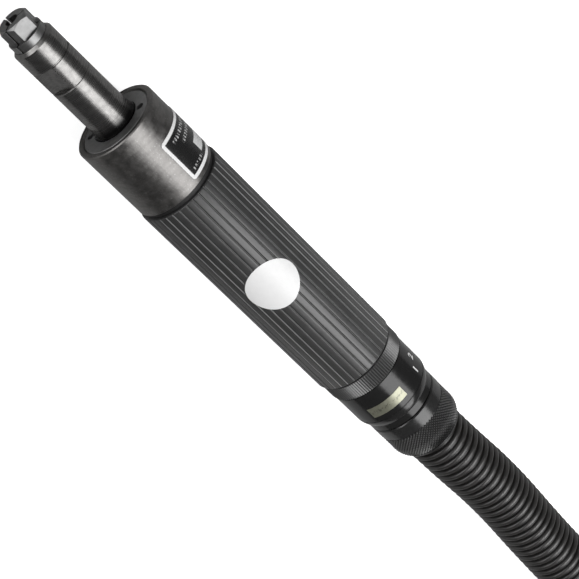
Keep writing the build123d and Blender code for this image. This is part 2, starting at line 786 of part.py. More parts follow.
def inlet_stem():
    stem = rod(x_web_rear + stem_thread_length - free_gap, x_stem_hex, stem_thread_radius)
    stem += hexagon(x_stem_hex, x_barb_front, stem_hex_across_flats)
    barbs = [(x_barb_rear, 0), (x_barb_front, 0), (x_barb_front, barb_radius)]
    for k in range(barb_count):
        x_barb = x_barb_front - barb_pitch * k
        barbs += [(x_barb - 0.8, barb_radius), (x_barb - 0.8, barb_radius + barb_rise),
                  (x_barb - barb_pitch, barb_radius)]
    stem += turned(*barbs)
    return stem - rod(x_web_rear + stem_thread_length, x_barb_rear - 1, stem_bore_radius)


def stem_ferrule():
    x_front = x_barb_front - 1.5
    return tube(x_front, x_front - ferrule_length, air_hose_radius + seat_fit + ferrule_wall,
                air_hose_radius + seat_fit)


def retaining_wire():
    ring = Torus(spigot_radius + running_fit / 2 - 0.1, wire_radius - running_fit)
    wire = Pos(x_wire, 0, 0) * Rot(0, 90, 0) * ring
    return wire - around(180) * Pos(x_wire, 0, spigot_radius) * Box(3, 4, 4)


def hose_nut():
    groove = nut_bore_radius + wire_radius + running_fit
    x_collar_room = x_spigot_rear + 1
    x_room_rear = x_collar_rear - 1
    room = collar_radius + collar_recess_gap
    mouth = exhaust_hose_radius + free_gap
    nut = turned(
        (x_nut_rear, mouth), (x_room_rear, mouth), (x_room_rear, room), (x_collar_room, room),
        (x_collar_room, nut_bore_radius), (x_wire - wire_radius, nut_bore_radius),
        (x_wire - wire_radius, groove), (x_wire + wire_radius, groove),
        (x_wire + wire_radius, nut_bore_radius), (x_nut_front, nut_bore_radius),
        (x_nut_front, hose_nut_radius - hose_nut_edge), (x_nut_front - hose_nut_edge, hose_nut_radius),
        (x_nut_rear, hose_nut_radius))
    return nut - curved_step(x_nut_rear + hose_nut_round, x_nut_rear, hose_nut_radius, mouth + hose_nut_lip,
                             hose_nut_bulge)


def hose_collar():
    return tube(x_collar_front, x_collar_rear, collar_radius, exhaust_hose_radius + seat_fit)


# ---- hoses ----
def bend_radii(points):
    """A radius for each corner of a route: as large as its two runs allow."""
    radii = []
    for before, here, after in zip(points, points[1:], points[2:]):
        run_in = Vector(*here) - Vector(*before)
        run_out = Vector(*after) - Vector(*here)
        half_turn = radians(run_in.get_angle(run_out)) / 2
        radii.append(0.45 * min(run_in.length, run_out.length) / tan(half_turn))
    return radii


def swept_tube(path, outer, inner, name):
    """A hollow tube along a path of straight runs and tangent arcs, with its volume compared."""
    start = Plane(origin=path @ 0, z_dir=path % 0)
    shape = sweep(start * Circle(outer), path) - sweep(start * Circle(inner), path)
    expected = pi * (outer ** 2 - inner ** 2) * path.length
    print(f"{name}: {path.length:.0f} mm long, volume {shape.volume / expected:.4f} of section x length")
    return shape


def route_path(points):
    radii = bend_radii(points)
    print("bend radii, mm:", [round(r) for r in radii])
    return FilletPolyline(*points, radius=radii)


def exhaust_hose():
    inner = exhaust_hose_radius - exhaust_hose_wall
    return swept_tube(route_path(hose_route), exhaust_hose_radius, inner, "exhaust_hose")


def air_hose():
    start = (x_barb_front - 1, 0.0, axis_height)
    points = [start] + hose_route[1:-1] + air_hose_tail
    return swept_tube(route_path(points), air_hose_radius, air_hose_radius - air_hose_wall, "air_hose")


def along(point, direction):
    """A placement whose X axis points along a direction."""
    return Plane(origin=point, x_dir=Vector(*direction), z_dir=Vector(0, 0, 1).cross(
        Vector(*direction)).cross(Vector(*direction)) * -1).location


def hose_end():
    """Where the exhaust hose ends, and the way it points there."""
    last, before = Vector(*hose_route[-1]), Vector(*hose_route[-2])
    return last, (last - before).normalized()


def end_cuff():
    point, way = hose_end()
    inner = exhaust_hose_radius + seat_fit
    outer = inner + cuff_wall
    front = cuff_length - cuff_overlap
    cuff = turned(
        (-cuff_overlap, inner), (0.3, inner), (0.3, exhaust_hose_radius - exhaust_hose_wall),
        (front - 2.5, exhaust_hose_radius - exhaust_hose_wall), (front - 2.5, air_hose_radius + 1.2),
        (front, air_hose_radius + 1.2), (front, outer - 1.5), (front - 1.5, outer), (-cuff_overlap, outer))
    cuff -= drilled(front + 1, front - 4, cuff_vent_circle, cuff_vent_radius, cuff_vent_count)
    return along(point, way) * cuff


def plug_place():
    last, before = Vector(*air_hose_tail[-1]), Vector(*air_hose_tail[-2])
    return along(last, (last - before).normalized())


def plug_ferrule():
    inner = air_hose_radius + plug_seat_fit
    return plug_place() * tube(0.0, -plug_ferrule_length, inner + ferrule_wall, inner)


def air_plug():
    barb = air_hose_radius - air_hose_wall - plug_seat_fit
    x_hex = plug_hex_length
    x_body = x_hex + plug_body_length
    x_neck = x_body + plug_neck_length
    x_nose = x_neck + plug_nose_length
    x_end = x_nose + plug_tip_length
    shank = rod(0.1, -plug_ferrule_length, barb)
    head = turned(
        (x_hex, 0), (x_end, 0), (x_end, plug_tip_radius), (x_nose, plug_tip_radius),
        (x_nose, plug_nose_radius), (x_neck, plug_nose_radius), (x_neck - 1.5, plug_neck_radius),
        (x_body, plug_neck_radius), (x_body, plug_body_radius), (x_hex, plug_body_radius))
    plug = shank + hexagon(x_hex, 0.1, plug_hex_across_flats) + head
    return plug_place() * (plug - rod(x_end + 1, -plug_ferrule_length - 1, plug_bore_radius))


# ---- the pieces, each in its own file ----
def tool_pieces():
    """The pieces that lie on the tool's axis."""
    front_outer, front_inner, front_balls, front_cage = spindle_bearing(x_cap_rear)
    rear_outer, rear_inner, rear_balls, rear_cage = spindle_bearing(x_bearing_2)
    rotor_front_outer, rotor_front_inner, rotor_front_balls = rotor_bearing(x_plate_front - 0.5)
    rotor_rear_outer, rotor_rear_inner, rotor_rear_balls = rotor_bearing(
        x_plate_rear + 0.5 + rotor_bearing_width)
    return {
        "collet": collet(),
        "spindle": spindle(),
        "spindle_nut": spindle_nut(),
        "drive_coupling": drive_coupling(),
        "front_bearing_outer_ring": front_outer,
        "front_bearing_inner_ring": front_inner,
        "front_bearing_balls": group(front_balls),
        "front_bearing_cage": front_cage,
        "rear_bearing_outer_ring": rear_outer,
        "rear_bearing_inner_ring": rear_inner,
        "rear_bearing_balls": group(rear_balls),
        "rear_bearing_cage": rear_cage,
        "bearing_spacer": bearing_spacer(),
        "spindle_spacer": spindle_spacer(),
        "front_housing": front_housing(),
        "front_cap": front_cap(),
        "spindle_seal": spindle_seal(),
        "data_plate": data_plate(),
        "grip_seal_ring": grip_seal_ring(),
        "grip_sleeve": grip_sleeve(),
        "grip_label": grip_label(),
        "motor_housing": motor_housing(),
        "front_end_plate": front_end_plate(),
        "rear_end_plate": rear_end_plate(),
        "cylinder_liner": cylinder_liner(),
        "liner_dowels": group([dowel(x_liner_front), dowel(x_liner_rear)]),
        "rotor": rotor(),
        "rotor_vanes": rotor_vanes(),
        "rotor_front_bearing_outer": rotor_front_outer,
        "rotor_front_bearing_inner": rotor_front_inner,
        "rotor_front_bearing_balls": group(rotor_front_balls),
        "rotor_rear_bearing_outer": rotor_rear_outer,
        "rotor_rear_bearing_inner": rotor_rear_inner,
        "rotor_rear_bearing_balls": group(rotor_rear_balls),
        "preload_spring": preload_spring(),
        "motor_retainer": motor_retainer(),
        "valve_body": valve_body(),
        "valve_o_rings": valve_o_rings(),
        "throttle_sleeve": throttle_sleeve(),
        "throttle_pins": throttle_pins(),
        "throttle_ring": throttle_ring(),
        "rear_body": rear_body(),
        "tail_label": tail_label(),
        "exhaust_muffler": exhaust_muffler(),
        "inlet_stem": inlet_stem(),
        "stem_ferrule": stem_ferrule(),
        "retaining_wire": retaining_wire(),
        "hose_nut": hose_nut(),
        "hose_collar": hose_collar(),
    }


def hose_pieces():
    """The pieces that lie behind the tool, on the floor."""
    return {
        "exhaust_hose": exhaust_hose(),
        "air_hose": air_hose(),
        "end_cuff": end_cuff(),
        "plug_ferrule": plug_ferrule(),
        "air_plug": air_plug(),
    }


os.makedirs("parts", exist_ok=True)
pieces = {name: Pos(0, 0, axis_height) * shape for name, shape in tool_pieces().items()}
pieces.update(hose_pieces())
for name, shape in pieces.items():
    export_step(shape, f"parts/{name}.step")
print(f"{len(pieces)} pieces, tool {tool_length:.2f} mm long")
tip = plug_place() * Pos(plug_hex_length + plug_body_length + plug_neck_length + plug_nose_length, 0, 0)
way = plug_place().position - (plug_place() * Pos(-1, 0, 0)).position
print("air plug tip:", *[round(v, 4) for v in tip.position], *[round(v, 6) for v in way])
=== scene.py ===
from math import cos, degrees, floor, pi, radians, sin

import bpy
from mathutils import Matrix, Vector
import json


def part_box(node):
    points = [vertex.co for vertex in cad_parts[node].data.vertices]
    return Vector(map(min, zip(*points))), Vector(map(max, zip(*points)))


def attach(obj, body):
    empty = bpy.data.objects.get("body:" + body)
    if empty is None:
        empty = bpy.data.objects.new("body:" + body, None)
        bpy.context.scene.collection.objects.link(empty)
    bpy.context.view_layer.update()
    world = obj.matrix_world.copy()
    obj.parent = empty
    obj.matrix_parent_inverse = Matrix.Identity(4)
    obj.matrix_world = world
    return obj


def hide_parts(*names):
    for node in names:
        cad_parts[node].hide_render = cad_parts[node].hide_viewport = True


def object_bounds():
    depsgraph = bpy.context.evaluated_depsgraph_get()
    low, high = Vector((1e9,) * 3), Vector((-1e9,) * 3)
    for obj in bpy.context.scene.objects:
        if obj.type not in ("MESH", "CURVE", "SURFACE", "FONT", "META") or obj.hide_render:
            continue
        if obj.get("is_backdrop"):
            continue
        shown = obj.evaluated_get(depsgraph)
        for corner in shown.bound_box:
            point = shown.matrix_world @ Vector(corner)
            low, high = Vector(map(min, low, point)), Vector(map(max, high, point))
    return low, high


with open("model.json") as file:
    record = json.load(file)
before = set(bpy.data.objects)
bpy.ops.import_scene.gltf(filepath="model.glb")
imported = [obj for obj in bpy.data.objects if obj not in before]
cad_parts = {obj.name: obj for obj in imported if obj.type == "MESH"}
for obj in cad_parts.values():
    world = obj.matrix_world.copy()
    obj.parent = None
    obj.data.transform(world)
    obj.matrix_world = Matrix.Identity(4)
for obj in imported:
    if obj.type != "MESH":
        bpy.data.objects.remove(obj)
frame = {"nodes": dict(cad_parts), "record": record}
start_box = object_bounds()
nodes = frame["nodes"]
MM = 0.001


# ---- places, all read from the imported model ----
def span(node):
    """(rear x, front x, outer radius) of a round node, in metres."""
    low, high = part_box(node)
    return low[0], high[0], (high[1] - low[1]) / 2


housing_low, housing_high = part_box("front_housing")
AXIS_Z = (housing_low[2] + housing_high[2]) / 2


def on_axis(x, radius, angle):
    """The point at this radius and angle about the tool's axis; the angle goes from the top towards +Y."""
    turn = radians(angle)
    return (x, radius * sin(turn), AXIS_Z + radius * cos(turn))


# ---- meshes ----
def make_object(name, vertices, faces, sharp=35.0):
    mesh = bpy.data.meshes.new(name)
    mesh.from_pydata(vertices, [], faces)
    mesh.validate()
    mesh.shade_smooth()
    mesh.set_sharp_from_angle(angle=radians(sharp))
    piece = bpy.data.objects.new(name, mesh)
    bpy.context.scene.collection.objects.link(piece)
    return piece


def skin(name, rings, sharp=35.0, ends=False):
    """A closed band of quads through rings that have the same number of points."""
    count = len(rings[0])
    vertices = [point for ring in rings for point in ring]
    faces = []
    for row in range(len(rings) - 1):
        for k in range(count):
            here, after = row * count + k, row * count + (k + 1) % count
            faces.append((here, after, after + count, here + count))
    if ends:
        faces.append(tuple(range(count))[::-1])
        last = (len(rings) - 1) * count
        faces.append(tuple(range(last, last + count)))
    return make_object(name, vertices, faces, sharp)


def dress(piece, material):
    piece.data.materials.clear()
    piece.data.materials.append(material)


def paint(node, material):
    """A CAD node keeps its shape and gets a better material."""
    piece = nodes[node]
    for holder in piece.material_slots:
        holder.material = material


# ---- shader building ----
class Shader:
    """A material whose nodes are added one by one."""

    def __init__(self, name):
        self.material = bpy.data.materials.new(name)
        self.material.use_nodes = True
        self.tree = self.material.node_tree
        self.surface = self.tree.nodes["Principled BSDF"]

    def node(self, kind, **settings):
        made = self.tree.nodes.new(kind)
        for key, value in settings.items():
            setattr(made, key, value)
        return made

    def join(self, source, target):
        self.tree.links.new(source, target)

    def set(self, **values):
        for key, value in values.items():
            self.surface.inputs[key.replace("_", " ").title().replace("Ior", "IOR")].default_value = value

    def feed(self, socket, value):
        if hasattr(value, "links"):
            self.join(value, socket)
        else:
            socket.default_value = value

    def math(self, operation, first, second=0.0, third=0.0):
        made = self.node("ShaderNodeMath", operation=operation)
        for socket, value in zip(made.inputs, (first, second, third)):
            self.feed(socket, value)
        return made.outputs[0]

    def remap(self, value, low, high, out_low, out_high):
        made = self.node("ShaderNodeMapRange")
        for socket, number in zip(made.inputs, (value, low, high, out_low, out_high)):
            self.feed(socket, number)
        return made.outputs[0]

    def mix(self, factor, first, second):
        made = self.node("ShaderNodeMix", data_type="RGBA")
        self.feed(made.inputs[0], factor)
        self.feed(made.inputs[6], first)
        self.feed(made.inputs[7], second)
        return made.outputs[2]

    def place(self):
        """The point in millimetres, with the tool's axis through zero."""
        if not hasattr(self, "_place"):
            point = self.node("ShaderNodeTexCoord").outputs["Object"]
            move = self.node("ShaderNodeMapping", vector_type="POINT")
            move.inputs["Location"].default_value = (0.0, 0.0, -AXIS_Z / MM)
            move.inputs["Scale"].default_value = (1 / MM, 1 / MM, 1 / MM)
            self.join(point, move.inputs["Vector"])
            self._place = move.outputs[0]
            parts = self.node("ShaderNodeSeparateXYZ")
            self.join(self._place, parts.inputs[0])
            self.along, self.side, self.height = parts.outputs
        return self._place

    def angle(self):
        """Degrees about the tool's axis, from the top towards +Y."""
        self.place()
        return self.math("MULTIPLY", self.math("ARCTAN2", self.side, self.height), 180 / pi)

    def radius(self):
        """Millimetres from the tool's axis."""
        self.place()
        height_square = self.math("MULTIPLY", self.height, self.height)
        squares = self.math("MULTIPLY_ADD", self.side, self.side, height_square)
        return self.math("SQRT", squares)

    def scaled(self, scale):
        """The place, with each direction stretched on its own."""
        move = self.node("ShaderNodeMapping", vector_type="POINT")
        move.inputs["Scale"].default_value = scale
        self.join(self.place(), move.inputs["Vector"])
        return move.outputs[0]

    def noise(self, scale, detail=4.0, vector=None, rough=0.55):
        made = self.node("ShaderNodeTexNoise")
        self.join(vector or self.place(), made.inputs["Vector"])
        made.inputs["Scale"].default_value = scale
        made.inputs["Detail"].default_value = detail
        made.inputs["Roughness"].default_value = rough
        return made.outputs["Fac"]

    def line_noise(self, value, scale, detail=5.0):
        """Noise that changes with one value only, such as turning marks along the axis."""
        made = self.node("ShaderNodeTexNoise", noise_dimensions="1D")
        self.feed(made.inputs["W"], value)
        made.inputs["Scale"].default_value = scale
        made.inputs["Detail"].default_value = detail
        return made.outputs["Fac"]

    def bump(self, height, distance, strength=1.0, edge=0.0):
        """Relief of this depth in millimetres, over edges rounded by this many millimetres."""
        made = self.node("ShaderNodeBump")
        made.inputs["Strength"].default_value = strength
        made.inputs["Distance"].default_value = distance * MM
        self.join(height, made.inputs["Height"])
        if edge:
            bevel = self.node("ShaderNodeBevel", samples=4)
            bevel.inputs["Radius"].default_value = edge * MM
            self.join(bevel.outputs[0], made.inputs["Normal"])
        self.join(made.outputs[0], self.surface.inputs["Normal"])

    def color(self, value):
        self.feed(self.surface.inputs["Base Color"], value)

    def rough(self, value):
        self.feed(self.surface.inputs["Roughness"], value)

    def inside(self, value, low, high, soft):
        """1 where the value lies between the two, with soft edges."""
        rise = self.remap(value, low - soft, low + soft, 0.0, 1.0)
        fall = self.remap(value, high - soft, high + soft, 1.0, 0.0)
        return self.math("MULTIPLY", rise, fall)


def grey(value, warm=0.0):
    return (value * (1 + warm), value, value * (1 - warm), 1.0)


def turned_metal(name, shade, rough, mark_scale=6.0, mark_depth=0.004, mottle=0.06, metallic=1.0, edge=0.12,
                 warm=0.0):
    """Metal cut on a lathe: fine rings round the axis on its sides and its faces, and a faint mottle."""
    m = Shader(name)
    m.set(metallic=metallic)
    radius = m.radius()
    marks = m.line_noise(m.math("ADD", m.along, m.math("MULTIPLY", radius, 1.7)), mark_scale)
    blotch = m.noise(0.35, 6.0)
    speck = m.noise(3.2, 3.0)
    tone = m.math("ADD", m.math("MULTIPLY", blotch, mottle * 1.4), m.math("MULTIPLY", marks, mottle))
    m.color(m.mix(m.remap(tone, mottle * 0.75, mottle * 1.6, 0.0, 1.0), grey(shade * 0.82, warm),
                  grey(shade * 1.16, warm)))
    m.rough(m.math("ADD", m.remap(marks, 0.3, 0.7, rough - 0.05, rough + 0.06),
                   m.remap(speck, 0.35, 0.7, -0.02, 0.05)))
    m.bump(marks, mark_depth, edge=edge)
    return m.material


def coated(name, shade, rough, coat=0.0, grain=0.8, grain_depth=0.01, warm=0.0, edge=0.15, metallic=0.0,
           wear=0.0, specular=0.5):
    """Paint, anodising or plastic: an even colour with a fine grain, and edges that may be worn pale."""
    m = Shader(name)
    m.set(metallic=metallic)
    m.surface.inputs["Coat Weight"].default_value = coat
    m.surface.inputs["Coat Roughness"].default_value = 0.06
    m.surface.inputs["Specular IOR Level"].default_value = specular
    cloud = m.noise(0.12, 5.0)
    fine = m.noise(grain * 4, 4.0)
    colour = m.mix(m.remap(cloud, 0.35, 0.65, 0.0, 1.0), grey(shade * 0.88, warm), grey(shade * 1.12, warm))
    if wear:
        bevel = m.node("ShaderNodeBevel", samples=4)
        bevel.inputs["Radius"].default_value = edge * MM
        turn = m.node("ShaderNodeVectorMath", operation="DOT_PRODUCT")
        m.join(bevel.outputs[0], turn.inputs[0])
        m.join(m.node("ShaderNodeNewGeometry").outputs["Normal"], turn.inputs[1])
        wear_and_highlight = m.math("MULTIPLY", m.remap(turn.outputs["Value"], 0.985, 0.9, 0.0, wear),
                      m.remap(fine, 0.35, 0.6, 0.3, 1.0))
        colour = m.mix(wear_and_highlight, colour, grey(0.3))
    m.color(colour)
    m.rough(m.remap(m.noise(grain, 5.0), 0.3, 0.7, rough - 0.04, rough + 0.05))
    m.bump(fine, grain_depth, edge=edge)
    return m.material


# ---- camera ----
LENS_PIXELS = 2400.0
FRAME_PIXELS = 579.0
TILT = radians(30.3)        # how far the axis leans out of the picture's plane, collet towards the camera
ROLL = radians(44.3)        # how far below level the tool runs in the picture
AWAY = 1.015
TARGET = Vector((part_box("collet")[1][0] - 0.1734, -0.0006, AXIS_Z))


def make_camera():
    back = Vector((sin(TILT), 0.0, cos(TILT)))
    rearward = Vector((-cos(TILT), 0.0, sin(TILT)))
    side = Vector((0.0, 1.0, 0.0))
    right = cos(ROLL) * rearward - sin(ROLL) * side
    up = -sin(ROLL) * rearward - cos(ROLL) * side
    camera = bpy.data.objects.new("camera", bpy.data.cameras.new("camera"))
    camera.data.sensor_width = 36.0
    camera.data.lens = LENS_PIXELS / FRAME_PIXELS * 36.0
    camera.data.clip_end = 20.0
    turn = Matrix((right, up, back)).transposed()
    camera.matrix_world = Matrix.Translation(TARGET + AWAY * back) @ turn.to_4x4()
    bpy.context.scene.collection.objects.link(camera)
    bpy.context.scene.camera = camera


# ---- light and floor ----
def area_light(name, place, aim, width, length, power, long_way=(1.0, 0.0, 0.0)):
    """A soft box at a place, turned to its aim, with its length along a direction."""
    lamp = bpy.data.lights.new(name, "AREA")
    lamp.shape = "RECTANGLE"
    lamp.size = length
    lamp.size_y = width
    lamp.energy = power
    back = (Vector(place) - Vector(aim)).normalized()
    across = Vector(long_way)
    across = (across - across.dot(back) * back).normalized()
    turn = Matrix((across, back.cross(across), back)).transposed()
    made = bpy.data.objects.new(name, lamp)
    made.matrix_world = Matrix.Translation(Vector(place)) @ turn.to_4x4()
    bpy.context.scene.collection.objects.link(made)
    return made


def make_stage():
    mesh = bpy.data.meshes.new("floor")
    size = 6.0
    corners = [(-size, -size, 0), (size, -size, 0), (size, size, 0), (-size, size, 0)]
    mesh.from_pydata(corners, [], [(0, 1, 2, 3)])
    floor_piece = bpy.data.objects.new("floor", mesh)
    bpy.context.scene.collection.objects.link(floor_piece)
    m = Shader("floor_paper")
    cloud = m.noise(0.02, 3.0)
    paper = m.mix(m.remap(cloud, 0.3, 0.7, 0.0, 1.0), grey(0.86), grey(0.9))
    seen = m.node("ShaderNodeLightPath").outputs["Is Camera Ray"]
    m.color(m.mix(seen, grey(0.4), paper))
    m.rough(0.9)
    m.surface.inputs["Specular IOR Level"].default_value = 0.1
    m.feed(m.surface.inputs["Emission Color"], grey(1.0))
    m.feed(m.surface.inputs["Emission Strength"], m.math("MULTIPLY", seen, 0.8))
    floor_piece.data.materials.append(m.material)
    floor_piece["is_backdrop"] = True

    world = bpy.data.worlds.new("studio")
    world.use_nodes = True
    world.node_tree.nodes["Background"].inputs["Color"].default_value = (1.0, 1.0, 1.0, 1.0)
    world.node_tree.nodes["Background"].inputs["Strength"].default_value = 0.12
    bpy.context.scene.world = world
    bpy.context.scene.view_settings.view_transform = "Standard"

    area_light("key_box", (-1.65, -0.166, 0.741), (-1.65, 0.0, 0.02), 0.62, 3.4, 25.0)
    area_light("front_left", (0.97, 0.52, 0.42), (0.0, 0.0, 0.02), 0.5, 0.95, 4.2, (-0.45, 0.8, 0.0))
    area_light("front_fill", (1.6, -0.2, 0.5), (0.1, 0.0, 0.02), 0.9, 0.9, 2.2, (0.0, 1.0, 0.0))


# ---- hoses ----
nut_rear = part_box("hose_nut")[0][0]
exhaust_route = [
    (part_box("hose_collar")[1][0], 0.0, AXIS_Z),
    (nut_rear - 0.012, 0.0, AXIS_Z),
    (-0.188, -0.0018, 0.0172),
    (-0.230, 0.0008, 0.0145),
    (-0.286, 0.0020, 0.01435),
    (-0.348, 0.031, 0.01435),
    (-0.390, 0.084, 0.01435),
    (-0.405, 0.151, 0.01435),
    (-0.389, 0.217, 0.01435),
    (-0.346, 0.270, 0.01435),
    (-0.284, 0.299, 0.01435),
    (-0.216, 0.300, 0.01435),
    (-0.140, 0.296, 0.01435),
    (-0.068, 0.293, 0.0147),
    (-0.005, 0.297, 0.0161),
    (0.046, 0.297, 0.0164),
]
air_route_end = [
    (0.037, 0.297, 0.0163),
    (0.063, 0.2966, 0.0157),
    (0.082, 0.2962, 0.0106),
    (0.098, 0.2964, 0.0083),
    (0.114, 0.2974, 0.0083),
]
HOSE_RADIUS = 14.2 * MM
HOSE_VALLEY = 12.3 * MM
RIB_PITCH = 4.05 * MM
SEAM_ANGLE = -2.0


def spline_object(name, route):
    curve = bpy.data.curves.new(name, "CURVE")
    curve.dimensions = "3D"
    curve.resolution_u = 24
    spline = curve.splines.new("NURBS")
    spline.points.add(len(route) - 1)
    for point, place in zip(spline.points, route):
        point.co = (*place, 1.0)
    spline.order_u = 3
    spline.use_endpoint_u = True
    piece = bpy.data.objects.new(name, curve)
    bpy.context.scene.collection.objects.link(piece)
    return piece


def spline_points(route):
    """Points along the route's smooth curve, close together."""
    guide = spline_object("guide", route)
    mesh = bpy.data.meshes.new_from_object(guide)
    points = [vertex.co.copy() for vertex in mesh.vertices]
    bpy.data.objects.remove(guide)
    bpy.data.meshes.remove(mesh)
    return points


class Walk:
    """Reads places at a distance along a line of points."""

    def __init__(self, points):
        self.points = points
        self.marks = [0.0]
        for before, after in zip(points, points[1:]):
            self.marks.append(self.marks[-1] + (after - before).length)
        self.length = self.marks[-1]
        self.step = 0

    def at(self, distance):
        """(place, direction) there; distances are asked for in rising order."""
        while self.step < len(self.marks) - 2 and self.marks[self.step + 1] < distance:
            self.step += 1
        before, after = self.points[self.step], self.points[self.step + 1]
        part = (distance - self.marks[self.step]) / (after - before).length
        ahead = self.points[min(self.step + 2, len(self.points) - 1)]
        behind = self.points[max(self.step - 1, 0)]
        heading = (after - behind).lerp(ahead - before, part).normalized()
        return before.lerp(after, part), heading


def rib_profile():
    """(share of a pitch, share of the rib's height) round one rib: a round crest, then a flat valley."""
    crest = 0.31
    profile = []
    for turn in (-90, -70, -45, -20, 0, 20, 45, 70, 90):
        profile.append((crest + crest * sin(radians(turn)), max(0.0, cos(radians(turn))) ** 0.8))
    profile.append((0.81, -0.06))
    return profile


def hose_angles():
    """Angles round the hose, closer together at the mould's seam."""
    even = [360 / 44 * k for k in range(44)]
    return sorted(even + [(SEAM_ANGLE + d) % 360 for d in (-3.2, -1.6, 0.6, 2.4)])


def ring_on(place, heading, radius, angles, pinch=None):
    side = Vector((0, 0, 1)).cross(heading).normalized() * -1
    up = heading.cross(side).normalized() * -1
    if up.z < 0:
        up = -up
    ring = []
    for angle in angles:
        turn = radians(angle)
        reach = radius - (pinch(angle) if pinch else 0.0)
        ring.append(place + reach * (sin(turn) * side + cos(turn) * up))
    return ring


def seam_pinch(angle):
    away = abs((angle - SEAM_ANGLE + 180) % 360 - 180)
    return 0.22 * MM if away < 1.0 else 0.0


def exhaust_hose():
    points = spline_points(exhaust_route)
    walk = Walk(points)
    ribs = floor(walk.length / RIB_PITCH)
    angles = hose_angles()
    rings = []
    for rib in range(ribs):
        for share, height in rib_profile():
            place, heading = walk.at((rib + share) * RIB_PITCH)
            radius = HOSE_VALLEY + (HOSE_RADIUS - HOSE_VALLEY) * height
            rings.append(ring_on(place, heading, radius, angles, seam_pinch if height > 0.3 else None))
    hose = skin("exhaust_hose_ribbed", rings, sharp=60.0, ends=False)
    dress(hose, hose_material())
    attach(hose, "housing")
    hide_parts("exhaust_hose")


def air_hose():
    start = (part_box("inlet_stem")[0][0] + 0.015, 0.0, AXIS_Z)
    hose = spline_object("air_hose_line", [start] + exhaust_route[1:-1] + air_route_end)
    hose.data.bevel_depth = 6.0 * MM
    hose.data.bevel_resolution = 7
    dress(hose, rubber_material("air_hose_rubber", 0.035))
    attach(hose, "housing")
    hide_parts("air_hose")


# ---- grip, throttle ring and hose nut ----
FLUTES = 36
FLUTE_PHASE = 2.5


def flute_section():
    """(angle, depth in mm) round the grip: round-edged grooves between flat-topped lands."""
    groove = [(-0.50, 0.0), (-0.41, 0.03), (-0.33, 0.13), (-0.25, 0.30), (-0.14, 0.41), (0.0, 0.44),
              (0.14, 0.41), (0.25, 0.30), (0.33, 0.13), (0.41, 0.03), (0.50, 0.0)]
    per_mm = degrees(1 / 20.0)
    pitch = 360 / FLUTES
    section = []
    for k in range(FLUTES):
        middle = FLUTE_PHASE + pitch * k
        section += [(middle + offset * per_mm, depth) for offset, depth in groove]
        land = pitch - 1.0 * per_mm
        section += [(middle + 0.5 * per_mm + land * share, 0.0) for share in (0.25, 0.5, 0.75)]
    return section


def grip():
    rear, front, radius = span("grip_sleeve")
    inner = radius - 2.0 * MM
    section = flute_section()
    rings = []
    edge = ((0.0, 1.9), (0.0, 0.45), (0.12, 0.2), (0.45, 0.0))
    places = [(front - inset * MM, drop) for inset, drop in edge]
    places += [(rear + inset * MM, drop) for inset, drop in reversed(edge)]
    for x, drop in places:
        ring = []
        for angle, depth in section:
            reach = min(radius - drop * MM, radius - depth * MM) if drop < 1 else inner
            ring.append(on_axis(x, reach, angle))
        rings.append(ring)
    piece = skin("grip_fluted", rings, sharp=50.0)
    dress(piece, grip_material())
    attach(piece, "housing")
    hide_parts("grip_sleeve")


RING_RIDGES = 104


def throttle_ring():
    rear, front, radius = span("throttle_ring")
    rings = []
    edge = ((0.0, 2.2, 0.0), (0.0, 0.55, 0.0), (0.5, 0.1, 0.35), (0.9, 0.0, 1.0))
    places = [(front - inset * MM, radius - drop * MM, share) for inset, drop, share in edge]
    places += [(rear + inset * MM, radius - drop * MM, share) for inset, drop, share in reversed(edge)]
    for x, reach, share in places:
        ring = []
        for k in range(RING_RIDGES):
            for part, depth in ((0.0, 0.55), (0.28, 0.2), (0.5, 0.0), (0.72, 0.2)):
                ring.append(on_axis(x, reach - depth * share * MM, 360 / RING_RIDGES * (k + part)))
        rings.append(ring)
    piece = skin("throttle_ring_knurled", rings, sharp=28.0)
    dress(piece, ring_material(radius / MM))
    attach(piece, "throttle")
    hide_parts("throttle_ring")


KNURL_PITCH = 1.6 * MM
KNURL_START = 6.9 * MM
NUT_ROUND = 8.0 * MM
NUT_BULGE = 1.0 * MM
KNURL_DEPTH = 0.62 * MM


def nut_radius(x, rear, radius, mouth):
    """The nut's outer radius, with its rounded rear end."""
    part = min(1.0, max(0.0, (rear + NUT_ROUND - x) / NUT_ROUND))
    drop = radius - mouth - 0.35 * MM
    return radius - drop * part + 4 * NUT_BULGE * part * (1 - part)


